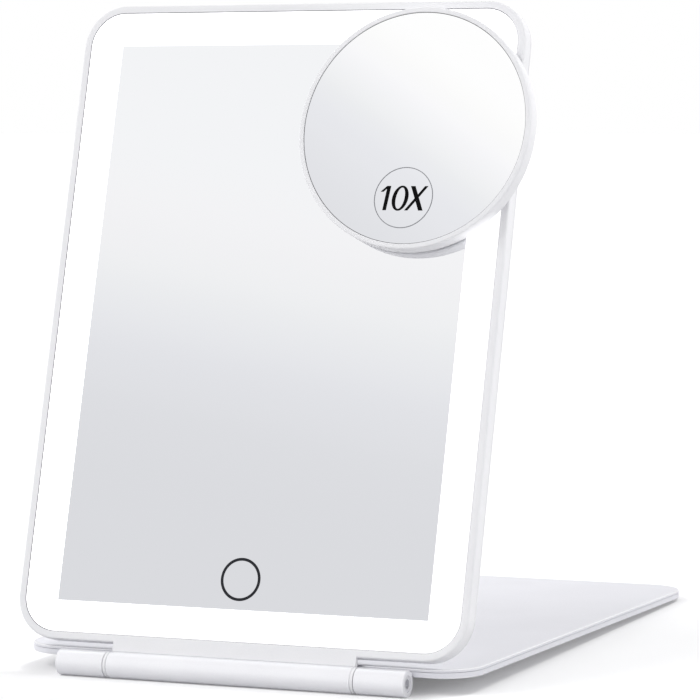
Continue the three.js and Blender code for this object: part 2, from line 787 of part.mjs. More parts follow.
// Lower layer of the cover, with pockets for the hinge leaves, the magnets and the feet
function coverShellPlate() {
  const middleY = (coverStart + panelTop) / 2;
  const plate = crownedSlab(coverOutline(), -shellTop, -coverUnder, coverRound);
  plate.translate(0, -middleY, 0).rotateX(Math.PI).translate(0, middleY, 0);
  const knuckleMiddle = (knuckleStart + knuckleEnd) / 2;
  const pocketHalf = knuckleLength / 2 - leafInset + fitGap;
  const pockets = [-1, 1].map((side) => block(
    [side * knuckleMiddle - pocketHalf, side * knuckleMiddle + pocketHalf],
    [coverStart - cutPast, coverStart + leafReach + fitGap],
    [coverUnder + leafFloor, shellTop + cutPast]));
  const magnetRooms = [-1, 1].map((side) => rodAlongZ(
    coverMagnetRadius + fitGap, side * magnetX, magnetZ, [magnetFloor - layerGap, shellTop + cutPast]));
  const footRooms = [-1, 1].map((side) => block(
    [side * footX - footWidth / 2 - fitGap, side * footX + footWidth / 2 + fitGap],
    [footY - footLength / 2 - fitGap, footY + footLength / 2 + fitGap],
    [coverUnder - cutPast, coverUnder + footRecess]));
  return cut(plate, ...pockets, ...magnetRooms, ...footRooms);
}

function coverMagnet(side) {
  return rodAlongZ(coverMagnetRadius, side * magnetX, magnetZ, [magnetFloor, shellTop]);
}

// Foot under the back of the cover, cut level so that it stands flat on the table
function rubberFoot(side) {
  const top = coverUnder + footRecess - layerGap;
  const underAt = (y) => (y * Math.sin(slope) - barrelRadius) / Math.cos(slope);
  const near = footY - footLength / 2;
  const far = footY + footLength / 2;
  const section = new THREE.Shape();
  section.moveTo(near, underAt(near));
  section.lineTo(far, underAt(far));
  section.lineTo(far, top);
  section.lineTo(near, top);
  const strip = new THREE.ExtrudeGeometry(section, { depth: footWidth, bevelEnabled: false });
  return strip.rotateY(Math.PI / 2).rotateX(Math.PI / 2).translate(side * footX - footWidth / 2, 0, 0);
}

// The magnifier's pieces are turned about a line square to the glass
function onGlass(profile, sides = discSides) {
  return turned(profile, sides).rotateX(Math.PI).translate(magnifierX, faceY, magnifierZ);
}

// Dish that holds the lens, its back raised over the suction cup
function magnifierHousing() {
  const stemHole = cupNeck + fitGap;
  return onGlass([
    [stemHole, cupRoof],
    [cupRecess, cupRoof],
    [cupRecess, magnifierGap],
    [magnifierRadius - housingRound, magnifierGap],
    [magnifierRadius, magnifierGap + housingRound],
    [magnifierRadius, housingFront],
    [housingInner, housingFront],
    [housingInner, seatHeight],
    [housingInner - lensSeat, seatHeight],
    [housingInner - lensSeat, housingFloor],
    [cupRecess + magnifierBack, housingFloor],
    [cupRecess + magnifierBack, roofTop],
    [stemHole, roofTop],
    [stemHole, cupRoof],
  ]);
}

function magnifierRim() {
  return onGlass([
    [rimInner, rimBack],
    [magnifierRadius, rimBack],
    [magnifierRadius, magnifierDepth - rimRound],
    [magnifierRadius - rimRound, magnifierDepth],
    [rimInner + rimRound, magnifierDepth],
    [rimInner, magnifierDepth - rimRound],
    [rimInner, rimBack],
  ]);
}

// Concave mirror: flat back, hollow front
function magnifierLens() {
  const curveRadius = (lensRadius ** 2 + lensSag ** 2) / (2 * lensSag);
  const front = Array.from({ length: lensSteps + 1 }, (_, step) => {
    const r = lensRadius * (1 - step / lensSteps);
    const rise = curveRadius - Math.sqrt(curveRadius ** 2 - r ** 2);
    return [r, housingFront - lensSag + rise];
  });
  return onGlass([[0, lensBack], [lensRadius, lensBack], ...front]);
}

function suctionCup() {
  const rest = layerGap;
  const underRoof = cupRoof - layerGap;
  return onGlass([
    [0, rest + cupHollow],
    [cupRadius - cupLip, rest],
    [cupRadius, rest],
    [cupRadius, rest + cupLip],
    [cupHead, underRoof],
    [cupNeck, underRoof],
    [cupNeck, roofTop + layerGap],
    [cupHead, roofTop + layerGap],
    [cupHead, roofTop + layerGap + cupHeadHeight],
    [0, roofTop + layerGap + cupHeadHeight],
  ], barrelSides);
}

function panelPieces() {
  return [
    part('front_frame', frontFrame(), finishes.caseWhite()),
    part('rear_cover', rearCover(), finishes.caseWhite()),
    part('mirror_glass', mirrorGlass(), finishes.mirror()),
    part('light_band', lightBand(), finishes.band()),
    part('touch_ring', touchRing(), finishes.black()),
    part('touch_sensor', touchSensor(), finishes.copper()),
    part('chassis', chassis(), finishes.innerWhite()),
    ...stripPlaces().map(([name, ...place]) => part(name, lightStrip(...place), finishes.strip())),
    part('battery', battery(), finishes.pouch()),
    part('main_board', mainBoard(), finishes.board()),
    part('charging_socket', chargingSocket(), finishes.steel()),
    part('battery_lead_red', batteryLead(1), finishes.redWire()),
    part('battery_lead_black', batteryLead(-1), finishes.blackWire()),
    part('strip_lead', stripLead(), finishes.redWire()),
    part('case_magnet_left', caseMagnet(-1), finishes.steel()),
    part('case_magnet_right', caseMagnet(1), finishes.steel()),
    ...screwPlaces().map(([x, z], i) => part(`case_screw_${i + 1}`, caseScrew(x, z), finishes.steel())),
    part('hinge_centre', hingeCentre(), finishes.barrel()),
    ...tangScrewPlaces().map((x, i) => part(`tang_screw_${i + 1}`, tangScrew(x), finishes.steel())),
    part('friction_sleeve_left', frictionSleeve(-1), finishes.steel()),
    part('friction_sleeve_right', frictionSleeve(1), finishes.steel()),
  ];
}

function magnifierPieces() {
  return [
    part('magnifier_housing', magnifierHousing(), finishes.caseWhite()),
    part('magnifier_rim', magnifierRim(), finishes.caseWhite()),
    part('magnifier_glass', magnifierLens(), finishes.mirror()),
    part('suction_cup', suctionCup(), finishes.clearRubber()),
  ];
}

function coverPieces() {
  return [
    part('cover_skin', coverSkinPlate(), finishes.cover()),
    part('cover_shell', coverShellPlate(), finishes.cover()),
    part('cover_magnet_left', coverMagnet(-1), finishes.steel()),
    part('cover_magnet_right', coverMagnet(1), finishes.steel()),
    part('rubber_foot_left', rubberFoot(-1), finishes.rubber()),
    part('rubber_foot_right', rubberFoot(1), finishes.rubber()),
    part('knuckle_left', knuckle(-1), finishes.barrel()),
    part('knuckle_right', knuckle(1), finishes.barrel()),
    part('hinge_pin_left', hingePin(-1), finishes.steel()),
    part('hinge_pin_right', hingePin(1), finishes.steel()),
    part('hinge_washer_left', hingeWasher(-1), finishes.washer()),
    part('hinge_washer_right', hingeWasher(1), finishes.washer()),
    part('grub_screw_left', grubScrew(-1), finishes.steel()),
    part('grub_screw_right', grubScrew(1), finishes.steel()),
  ];
}

// The hinge axis lies one barrel radius above the table
const panel = new THREE.Group();
panel.rotation.x = -lean;
panel.add(...panelPieces(), ...magnifierPieces());

const cover = new THREE.Group();
cover.rotation.x = -slope;
cover.add(...coverPieces());

const travelMirror = new THREE.Group();
travelMirror.add(panel, cover);
travelMirror.updateMatrixWorld(true);

const bounds = new THREE.Box3().setFromObject(travelMirror, true);
const middle = bounds.getCenter(new THREE.Vector3());
travelMirror.position.set(-middle.x, -middle.y, -bounds.min.z);

export default travelMirror;
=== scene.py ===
import json
import math

import bmesh
import bpy
import numpy as np
from mathutils import Matrix, Vector


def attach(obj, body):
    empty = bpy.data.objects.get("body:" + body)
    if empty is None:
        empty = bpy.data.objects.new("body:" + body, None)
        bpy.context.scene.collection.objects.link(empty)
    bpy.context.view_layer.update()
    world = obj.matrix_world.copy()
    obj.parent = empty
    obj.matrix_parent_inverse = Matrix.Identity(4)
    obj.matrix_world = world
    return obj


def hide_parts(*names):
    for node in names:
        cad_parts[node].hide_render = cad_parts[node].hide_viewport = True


# Folding travel mirror: a lit panel, its hinge barrel, a flat cover that serves as the stand,
# and a round magnifier on the glass.
# Every shape is worked out in millimetres in the panel's or the cover's own axes (x right, y back,
# z up along the panel or square to the cover, all from the hinge axis), then tilted onto the frame.

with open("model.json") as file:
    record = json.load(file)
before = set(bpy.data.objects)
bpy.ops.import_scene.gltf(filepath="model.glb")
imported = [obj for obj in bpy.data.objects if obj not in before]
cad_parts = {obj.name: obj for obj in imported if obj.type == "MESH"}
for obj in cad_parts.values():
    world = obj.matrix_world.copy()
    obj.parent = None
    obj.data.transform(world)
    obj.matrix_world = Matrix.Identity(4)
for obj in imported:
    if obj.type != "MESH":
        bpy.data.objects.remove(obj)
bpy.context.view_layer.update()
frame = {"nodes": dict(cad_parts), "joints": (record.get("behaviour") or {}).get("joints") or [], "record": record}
print("frame loaded:", len(frame["nodes"]), "nodes")

joints = {joint["name"]: joint for joint in frame["joints"]}
mounts = {mount["name"]: mount for mount in frame["record"]["mounts"]}
hingeAxis = np.array(joints["cover_hinge"]["pos_m"])
outOfGlass = joints["magnifier_pull_off"]["axis"]
outOfCover = mounts["cover_top"]["axis"]
panelTilt = math.atan2(outOfGlass[2], -outOfGlass[1])
coverTilt = math.atan2(outOfCover[1], outOfCover[2])
mm = 0.001
cornerSteps = 16
meshing = {"weld": 2e-6, "sliver": 1e-7, "crease": 38}  # metres, and degrees from which an edge stays sharp


def gridFaces(rows, columns, rowsClose=False, columnsClose=False):
    # one quad between each point of the grid and its next row and column, wrapping where a direction closes
    i = np.arange(rows if rowsClose else rows - 1)
    j = np.arange(columns if columnsClose else columns - 1)
    a, b = np.meshgrid(i, j, indexing="ij")
    nextA, nextB = (a + 1) % rows, (b + 1) % columns
    corners = [a * columns + b, nextA * columns + b, nextA * columns + nextB, a * columns + nextB]
    return np.stack(corners, -1).reshape(-1, 4)


def arc(x, y, radius, start, end, steps=6):
    # centre plus radius times (cosine, sine) of an angle that runs from start to end, in degrees
    angle = np.radians(np.linspace(start, end, steps + 1))
    return np.stack([x + radius * np.cos(angle), y + radius * np.sin(angle)], -1)


def outline(x0, x1, z0, z1, radius, steps=cornerSteps, footStops=(), leftStops=()):
    # rounded rectangle, anticlockwise from the left end of its foot: each corner is its centre plus the
    # radius times (cosine, sine); the stops are extra points on the foot and on the left side
    centres = np.array([
        (x1 - radius, z0 + radius), (x1 - radius, z1 - radius),
        (x0 + radius, z1 - radius), (x0 + radius, z0 + radius)])
    angles = np.radians([np.linspace(90 * k - 90, 90 * k, steps + 1) for k in range(4)])
    outward = np.stack([np.cos(angles), np.sin(angles)], -1)
    points = centres[:, None, :] + radius * outward
    foot = np.array([(x, z0) for x in footStops]).reshape(-1, 2)
    left = np.array([(x0, z) for z in leftStops]).reshape(-1, 2)
    return (
        np.concatenate([foot, *points[:3], left, points[3]]),
        np.concatenate([foot * 0 + (0, -1), *outward[:3], left * 0 + (-1, 0), outward[3]]))


def swept(path, profile):
    # profile of (inset, depth) carried round a path: path minus inset times outward, at that depth;
    # the profile may differ from point to point of the path
    points, outward = path
    profile = np.broadcast_to(profile, (len(points),) + np.shape(profile)[-2:])
    flat = points[:, None, :] - outward[:, None, :] * profile[..., :1]
    return np.stack([flat[..., 0], profile[..., 1], flat[..., 1]], -1)


def loop(path, profile):
    # closed profile carried round a closed path
    points = swept(path, profile)
    return points.reshape(-1, 3), gridFaces(*points.shape[:2], True, True)


def plate(path, profile):
    # open profile carried round an outline that is alike left and right, and each end closed by quads
    # that run straight across from each point to its twin on the other side
    points = swept(path, profile)
    rows, columns = points.shape[:2]
    i = np.arange(rows // 2 - 1)
    across = np.stack([i, i + 1, rows - 2 - i, rows - 1 - i], -1) * columns
    faces = [gridFaces(rows, columns, rowsClose=True), across, across + columns - 1]
    return points.reshape(-1, 3), np.concatenate(faces)


def easedSheet(front, back, ease=0.1, inset=0.3):
    # edge profile of a thin sheet from front to back, both its corners cut at 45 degrees by the ease
    return [(inset, front), (ease, front), (0, front + ease), (0, back - ease), (ease, back), (inset, back)]


def flatRing(inner, outer, low, high):
    # section of a flat ring, from its inner radius to its outer one, between two heights
    return [(inner, low), (outer, low), (outer, high), (inner, high)]


def turned(profile, sides=128, closed=False, radii=None):
    # profile of (radius, height) turned round its axis: radius times cosine and sine, at that height;
    # radii, where given, has a radius for each profile point at each angle
    profile = np.asarray(profile, float)
    angle = np.linspace(0, 2 * np.pi, sides, endpoint=False)
    r = profile[:, :1] * np.ones(sides) if radii is None else radii
    points = np.stack([r * np.cos(angle), r * np.sin(angle), profile[:, 1:] * np.ones(sides)], -1)
    return points.reshape(-1, 3), gridFaces(len(profile), sides, closed, True)


def alongX(shape, flip=1):
    # the turning axis laid along x, towards the left where flip is -1
    points, faces = shape
    return np.stack([flip * points[:, 2], points[:, 0], points[:, 1]], -1), faces


def offGlass(shape, x, z):
    # the turning axis stood on the glass at x and z, heights towards the viewer
    points, faces = shape
    return np.stack([x + points[:, 0], case["face"] - points[:, 2], z + points[:, 1]], -1), faces


def laidFlat(shape):
    # a plate drawn upright laid into the cover's plane, its depth counted downwards
    points, faces = shape
    return np.stack([points[:, 0], points[:, 2], -points[:, 1]], -1), faces


def joined(shapes):
    # several shapes as one: each shape's faces are moved on by the number of points before it
    starts = np.cumsum([0] + [len(points) for points, faces in shapes[:-1]])
    return (
        np.concatenate([points for points, faces in shapes]),
        np.concatenate([faces + start for start, (points, faces) in zip(starts, shapes)]))


def placed(points, tilt):
    # turned about the hinge axis by the tilt, moved to the hinge, in metres
    x, y, z = np.asarray(points, float).T
    c, s = math.cos(tilt), math.sin(tilt)
    return np.stack([x, y * c + z * s, z * c - y * s], -1) * mm + hingeAxis


def makeMesh(name, shape, tilt):
    # placed points and their faces, doubles welded, then all faces turned outwards
    points, faces = shape
    mesh = bpy.data.meshes.new(name)
    mesh.from_pydata(placed(points, tilt), [], faces.tolist())
    work = bmesh.new()
    work.from_mesh(mesh)
    bmesh.ops.remove_doubles(work, verts=work.verts, dist=meshing["weld"])
    bmesh.ops.dissolve_degenerate(work, edges=work.edges, dist=meshing["sliver"])
    bmesh.ops.recalc_face_normals(work, faces=work.faces)
    work.to_mesh(mesh)
    work.free()
    return mesh


def makePiece(name, shape, body, material, replaced=(), cutters=None):
    # one object at the origin that rides its body and hides the nodes it replaces; the cutters' shape,
    # where given, is taken out of it
    tilt = coverTilt if body == "stand_cover" else panelTilt
    piece = bpy.data.objects.new(name, makeMesh(name, shape, tilt))
    bpy.context.scene.collection.objects.link(piece)
    if cutters:
        cutter = bpy.data.objects.new("cutter", makeMesh("cutter", cutters, tilt))
        bpy.context.scene.collection.objects.link(cutter)
        piece.modifiers.new("holes", "BOOLEAN").object = cutter
        bpy.context.view_layer.update()
        evaluated = piece.evaluated_get(bpy.context.evaluated_depsgraph_get())
        piece.data = bpy.data.meshes.new_from_object(evaluated)
        piece.data.name = name
        piece.modifiers.clear()
        bpy.data.objects.remove(cutter)
    piece.data.shade_smooth()
    piece.data.set_sharp_from_angle(angle=math.radians(meshing["crease"]))
    piece.data.materials.clear()
    piece.data.materials.append(material)
    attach(piece, body)
    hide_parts(*replaced)


def linear(hexColour):
    # sRGB to linear: dark values over 12.92, the others raised to 2.4
    values = np.array([int(hexColour[k:k + 2], 16) for k in (1, 3, 5)]) / 255
    values = np.where(values <= 0.04045, values / 12.92, ((values + 0.055) / 1.055) ** 2.4)
    return (*values.tolist(), 1.0)


def addNode(tree, kind, inputs=None, **settings):
    # a node with its settings, and each input given a value or a link
    node = tree.nodes.new(kind)
    for key, value in settings.items():
        setattr(node, key, value)
    for key, value in (inputs or {}).items():
        if isinstance(value, bpy.types.NodeSocket):
            tree.links.new(value, node.inputs[key])
        else:
            node.inputs[key].default_value = value
    return node


def newMaterial(name):
    # a material with its node tree, its shader and the object coordinates
    material = bpy.data.materials.new(name)
    material.use_nodes = True
    tree = material.node_tree
    where = addNode(tree, "ShaderNodeTexCoord").outputs["Object"]
    return material, tree, tree.nodes["Principled BSDF"], where


# How the noises are spread: the middle part of one, the middle part of two added up, and their detail
noise = {"low": 0.3, "high": 0.7, "sumLow": 0.75, "sumHigh": 1.25, "fineDetail": 3.0, "broadDetail": 2.0}


def spreadRoughness(tree, shader, value, low, high):
    # the noise's middle part carried over to the two roughness values
    spread = addNode(tree, "ShaderNodeMapRange", {
        "Value": value, "From Min": noise["low"], "From Max": noise["high"], "To Min": low, "To Max": high})
    tree.links.new(spread.outputs[0], shader.inputs["Roughness"])


def finish(name, colours, roughness, grain, bump=0.0, shades=40.0, **sockets):
    # Two near colours spread by a broad noise and a fine one, a roughness that follows the fine one, and
    # its relief. Grain, bump height and the size of the shades are in mm.
    material, tree, shader, where = newMaterial(name)
    fine = addNode(tree, "ShaderNodeTexNoise", {
        "Vector": where, "Scale": 1 / (grain * mm), "Detail": noise["fineDetail"]}).outputs["Fac"]
    broad = addNode(tree, "ShaderNodeTexNoise", {
        "Vector": where, "Scale": 1 / (shades * mm), "Detail": noise["broadDetail"]}).outputs["Fac"]
    both = addNode(tree, "ShaderNodeMath", {0: fine, 1: broad}, operation="ADD").outputs[0]
    share = addNode(tree, "ShaderNodeMapRange", {
        "Value": both, "From Min": noise["sumLow"], "From Max": noise["sumHigh"]}).outputs[0]
    tone = addNode(
        tree, "ShaderNodeMix", {0: share, 6: linear(colours[0]), 7: linear(colours[1])}, data_type="RGBA")
    tree.links.new(tone.outputs[2], shader.inputs["Base Color"])
    spreadRoughness(tree, shader, fine, *roughness)
    if bump:
        relief = addNode(tree, "ShaderNodeBump", {"Height": fine, "Distance": bump * mm, "Strength": 1.0})
        tree.links.new(relief.outputs["Normal"], shader.inputs["Normal"])
    for key, value in sockets.items():
        shader.inputs[key.replace("_", " ")].default_value = value
    return material


# Mirror finish; dark colours the ring at the lens's edge, the silvering's rim deepened as painted shade of the gap
# under the bezel
silvering = {"inside": 0.06, "outside": 0.04, "dark": "#3C3D42", "haze": 25, "roughness": (0.0, 0.03)}


def paintedReflectionMirror(name, direction, centre, stops, edge=None):
    # Silver behind float glass, with a painted reflection. Plain surroundings give a mirror no shades, so a tone
    # is painted across it in place of reflected shading: the distance in metres from the centre along the
    # direction picks a colour from the stops. An edge radius draws a dark ring at the edge: the silvering's dark
    # rim, deepened as painted shade of the gap under the bezel.
    material, tree, shader, where = newMaterial(name)
    offset = addNode(tree, "ShaderNodeVectorMath", {0: where, 1: centre}, operation="SUBTRACT").outputs[0]
    along = addNode(
        tree, "ShaderNodeVectorMath", {0: offset, 1: direction}, operation="DOT_PRODUCT").outputs["Value"]
    low, high = stops[0][0], stops[-1][0]
    share = addNode(
        tree, "ShaderNodeMapRange", {"Value": along, "From Min": low, "From Max": high}).outputs[0]
    ramp = addNode(tree, "ShaderNodeValToRGB", {"Fac": share})
    ramp.color_ramp.interpolation = "CARDINAL"
    while len(ramp.color_ramp.elements) < len(stops):
        ramp.color_ramp.elements.new(0.5)
    for element, (place, colour) in zip(ramp.color_ramp.elements, stops):
        element.position = (place - low) / (high - low)
        element.color = linear(colour)
    toned = ramp.outputs["Color"]
    # a dark ring at the glass's edge: the silvering's dark rim, deepened as painted shade of the gap under the
    # bezel
    if edge:
        away = addNode(tree, "ShaderNodeVectorMath", {0: offset}, operation="LENGTH").outputs["Value"]
        rim = addNode(tree, "ShaderNodeMapRange", {
            "Value": away, "From Min": edge - silvering["inside"] * mm,
            "From Max": edge + silvering["outside"] * mm}).outputs[0]
        toned = addNode(tree, "ShaderNodeMix", {
            0: rim, 6: toned, 7: linear(silvering["dark"])}, data_type="RGBA").outputs[2]
    tree.links.new(toned, shader.inputs["Base Color"])
    haze = addNode(tree, "ShaderNodeTexNoise", {
        "Vector": where, "Scale": 1 / (silvering["haze"] * mm),
        "Detail": noise["broadDetail"]}).outputs["Fac"]
    spreadRoughness(tree, shader, haze, *silvering["roughness"])
    shader.inputs["Metallic"].default_value = 1.0
    return material


# Case and glass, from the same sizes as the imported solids
case = {
    "half": 89, "foot": 8.1, "top": 248.1, "corner": 16, "face": -0.3, "back": 6.7,
    "border": 2.8, "ledge": 1.5, "ledgeFront": 1.85, "frameBack": 5.35, "rearFront": 5.5,
    "edgeRound": 0.8, "innerRound": 0.12, "flat": 1.2,
}
caseOutline = (-case["half"], case["half"], case["foot"], case["top"], case["corner"])
mirror = {"left": -72.65, "right": 73.95, "foot": 22.45, "top": 232.35, "corner": 0.3, "back": 1.7}
lens = {
    "x": 52.3, "z": 198.8, "radius": 42.9, "edge": 7.5, "back": 4.25, "sag": 1.5, "rim": 0.14, "rings": 24,
}
lensCentre = placed([(lens["x"], case["face"] - lens["edge"], lens["z"])], panelTilt)[0]

# Injection-moulded ABS, cool white with a satin spark-eroded grain; the real grain of 0.05 mm is drawn
# at 0.35 mm
mouldedAbs = finish("moulded_ABS", ("#EAEAEC", "#E6E6E9"), (0.36, 0.44), 0.35, 0.002, IOR=1.53)
# Aluminium blasted with fine beads and anodised silver: bright, milky, with a soft highlight
blastedAluminium = finish(
    "blasted_anodised_aluminium", ("#F2F2F5", "#EDEDF1"), (0.34, 0.42), 0.3, 0.004, Metallic=0.35)
# ABS with a silver-white lacquer: satin, faintly lavender, flake too fine to show but as a slight shimmer
silverLacquer = finish(
    "silver_white_lacquer", ("#E2E2E8", "#DDDDE3"), (0.36, 0.46), 0.3, 0.003, Metallic=0.15)
# Lighter, smoother metal in a bead along the cover's edges: a painted highlight, a hard clear glint
paintedHighlightEdge = finish("edge_bead_painted_highlight", ("#F7F7F9", "#F1F1F4"), (0.1, 0.2), 0.3, Metallic=1.0)
# Turned nylon, waxy and paler than the metal round it
turnedNylon = finish("turned_nylon", ("#F0F0F2", "#EAEAED"), (0.5, 0.6), 0.4, 0.003, IOR=1.53)
# Thin closed-cell foam tape in the seam, mid grey; its grey is also painted shade of the gap
seamFoamAndShade = finish("seam_foam_and_painted_shade", ("#74747A", "#6C6C72"), (0.8, 0.9), 0.25, 0.01, IOR=1.4)
# Screen-printed enamel ink, near black with a slight gloss; the figures are printed in a matt true black,
# and the thin ring round them in grey
printedInk = finish("printed_ink", ("#1C1D23", "#17181D"), (0.35, 0.45), 0.4, 0.001, IOR=1.3)
blackInk = finish(
    "black_ink", ("#030304", "#060607"), (0.5, 0.6), 0.4, 0.001, IOR=1.3, Specular_IOR_Level=0.15)
hairlineInk = finish("thin_grey_ink", ("#8B8C90", "#7E7F84"), (0.4, 0.5), 0.4, 0.001, IOR=1.5)
# Moulded silicone, matt and pale grey; the clear one is soft and slightly milky
mouldedSilicone = finish("moulded_silicone", ("#DCDCE0", "#D3D3D8"), (0.7, 0.8), 0.5, 0.006, IOR=1.41)
clearSilicone = finish(
    "clear_silicone", ("#EEF2F4", "#E6EBEE"), (0.15, 0.25), 1.5, 0.004, IOR=1.41, Transmission_Weight=0.6)
# Bright nickel on steel, smooth enough to mirror; the same left satin, as bright as the barrel's end round it
nickelSteel = finish("nickel_plated_steel", ("#C9CACD", "#BCBDC1"), (0.2, 0.32), 0.4, 0.002, Metallic=1.0)
satinNickel = finish(
    "satin_nickel_plated_steel", ("#ECECEF", "#E4E4E8"), (0.34, 0.42), 0.4, 0.002, Metallic=0.5)
# What lies inside the case: plain white ABS, printed boards, foil, sleeves of the leads
innerAbs = finish("moulded_white_ABS", ("#F0F0EC", "#E8E8E4"), (0.5, 0.6), 0.4, 0.004, IOR=1.53)
flexBoard = finish("white_flexible_board", ("#F2EFE2", "#E3DFC9"), (0.45, 0.6), 0.6, 0.004)
pouchFoil = finish("laminated_foil", ("#BDC0C6", "#A9ACB3"), (0.25, 0.4), 1.2, 0.02, Metallic=0.8)
solderMask = finish("green_solder_mask", ("#23623F", "#1A4D32"), (0.35, 0.5), 0.5, 0.01)
redPvc = finish("red_PVC_sleeve", ("#B3262A", "#9C1F24"), (0.4, 0.5), 0.5, 0.004)
blackPvc = finish("black_PVC_sleeve", ("#26272A", "#1B1C1F"), (0.4, 0.5), 0.5, 0.004)
copperFoil = finish("copper_foil", ("#C98A5A", "#B87746"), (0.25, 0.4), 0.6, 0.004, Metallic=1.0)
# Frosted acrylic light guide, lit: an even white that hardly shows its own surface
litAcrylic = finish(
    "lit_frosted_acrylic", ("#FFFFFF", "#F8F8FA"), (0.45, 0.55), 0.4, 0.003, IOR=1.49,
    Emission_Color=linear("#FFFFFF"), Emission_Strength=0.9)
litAcrylic.cycles.emission_sampling = "NONE"  # aimed at as a lamp it only makes the magnifier's rim grainy
# Painted reflection: the pane gets a tone graded across the glass in place of reflected shading
paintedReflectionGlass = paintedReflectionMirror("float_glass_with_painted_reflection", (0.16, 0, 1), (0, 0, 0), [
    (0.040, "#DADBDF"), (0.070, "#DBDCE0"), (0.091, "#DEDFE3"), (0.112, "#E4E5E9"),
    (0.134, "#EDEEF0"), (0.155, "#F2F2F4"), (0.180, "#F3F4F6")])
# The lens's tone is a painted reflection too; its dark edge ring is partly painted shade of the gap under the
# bezel
paintedReflectionLens = paintedReflectionMirror("concave_glass_with_painted_reflection", (0.54, 0, 0.84), tuple(lensCentre), [
    (-0.040, "#E0E1E5"), (-0.023, "#E5E6EA"), (-0.013, "#E8E9ED"), (-0.004, "#EEEFF1"),
    (0.008, "#F7F7F9"), (0.017, "#FBFBFB"), (0.027, "#FEFEFE")], edge=(lens["radius"] - lens["rim"]) * mm)
print("materials made:", len(bpy.data.materials))

# Frame: outer wall, rounded front edge, flat front, and the ledge behind the lit band. Along the foot its
# front runs on down to the barrel as a tongue; on the left its back is cut away for the charging socket.
tongue = {"half": 48.0, "back": 1.6, "ease": 0.1, "round": 0.3, "meets": 3.3, "meetsBehind": 3.6}
slot = {"z": 35.1, "half": 4.75, "front": 2.2, "corner": 1.2, "steps": 5}
frameEdge = arc(case["edgeRound"], case["face"] + case["edgeRound"], case["edgeRound"], 180, 270)
seamEdge = arc(
    case["border"] - case["innerRound"], case["face"] + case["innerRound"], case["innerRound"], 270, 360, 4)
ledgeInset = case["border"] + case["ledge"]
plainProfile = np.concatenate([
    [(0, case["frameBack"]), (0, tongue["back"]), (0, tongue["back"] - tongue["ease"])], frameEdge,
    [(case["flat"], case["face"])], seamEdge,
    [(case["border"], case["ledgeFront"]), (ledgeInset, case["ledgeFront"]),
     (ledgeInset, case["frameBack"])]])
tongueProfile = plainProfile.copy()
tongueProfile[2] = (-tongue["meetsBehind"], tongue["back"])
tongueProfile[3:3 + len(frameEdge)] = arc(
    tongue["round"] - tongue["meets"], case["face"] + tongue["round"], tongue["round"], 180, 270)
slotCorner = arc(slot["half"] - slot["corner"], 0, slot["corner"], 0, 90, slot["steps"])
cornerReach = np.concatenate([[slot["half"]], slotCorner[:, 0]])
cornerDepth = np.concatenate([[case["frameBack"]], slot["front"] + slot["corner"] - slotCorner[:, 1]])
leftStops = np.concatenate([slot["z"] + cornerReach, slot["z"] - cornerReach[::-1]])
slotDepths = np.concatenate([cornerDepth, cornerDepth[::-1]])
footStops = (-tongue["half"], -tongue["half"], tongue["half"], tongue["half"])
framePath = outline(*caseOutline, footStops=footStops, leftStops=leftStops)
frameProfiles = np.tile(plainProfile, (len(framePath[0]), 1, 1))
frameProfiles[1:3] = tongueProfile
slotStart = len(footStops) + 3 * (cornerSteps + 1)
for column in (0, -1):
    frameProfiles[slotStart:slotStart + len(leftStops), column, 1] = slotDepths
makePiece(
    "case_frame", loop(framePath, frameProfiles), "mirror_panel", mouldedAbs, ["front_frame"])

# Back of the case: a plate with its rear edge rounded and four round recesses for the screws
rear = {"round": 0.5, "frontInset": 0.6, "backInset": 0.9}
screws = {"x": (-80, 80), "z": (17.1, 239.1), "radius": 2.0, "deep": 0.75, "past": 2, "sides": 48}
rearProfile = np.concatenate([
    [(rear["frontInset"], case["rearFront"]), (0, case["rearFront"])],
    arc(rear["round"], case["back"] - rear["round"], rear["round"], 180, 90),
    [(rear["backInset"], case["back"])]])
recessPoints, recessFaces = turned(
    [(0, 0), (screws["radius"], 0), (screws["radius"], screws["past"]), (0, screws["past"])], screws["sides"])
# each recess is one cutter that starts at the recess floor and passes the back face
recesses = joined([
    (np.stack([x + recessPoints[:, 0], case["back"] - screws["deep"] + recessPoints[:, 2],
               z + recessPoints[:, 1]], -1), recessFaces)
    for x in screws["x"] for z in screws["z"]])
makePiece(
    "case_back", plate(outline(*caseOutline), rearProfile), "mirror_panel", mouldedAbs,
    ["rear_cover"], recesses)

# Lit band: front face between a rounded outline, its edge eased, and the mirror, which it meets flush
band = {"inset": 3.1, "eased": 0.15}
mirrorOutline = outline(mirror["left"], mirror["right"], mirror["foot"], mirror["top"], mirror["corner"])
bandEdge, outward = outline(*caseOutline)
bandEdge = bandEdge - outward * band["inset"]
bandColumns = [
    (bandEdge, mirror["back"]), (bandEdge, case["face"] + band["eased"]),
    (bandEdge - outward * band["eased"], case["face"]),
    (mirrorOutline[0], case["face"]), (mirrorOutline[0], mirror["back"])]
bandPoints = np.stack([np.insert(flat, 1, depth, axis=1) for flat, depth in bandColumns], 1)
makePiece(
    "lit_band", (bandPoints.reshape(-1, 3), gridFaces(*bandPoints.shape[:2], True, True)), "mirror_panel",
    litAcrylic, ["light_band"])

# Liner on the frame's side of the seam, its grey partly painted shade of the gap: it shows on the left and at the
# top, where the view goes into the gap
liner = {"recessed": 0.12, "back": 1.8, "outer": 2.82, "inner": 2.9}
linerProfile = flatRing(liner["outer"], liner["inner"], case["face"] + liner["recessed"], liner["back"])
makePiece("seam_liner", loop(outline(*caseOutline), linerProfile), "mirror_panel", seamFoamAndShade)

# Mirror pane
makePiece(
    "mirror_pane", plate(mirrorOutline, [(0, mirror["back"]), (0, case["face"])]), "mirror_panel",
    paintedReflectionGlass, ["mirror_glass"])

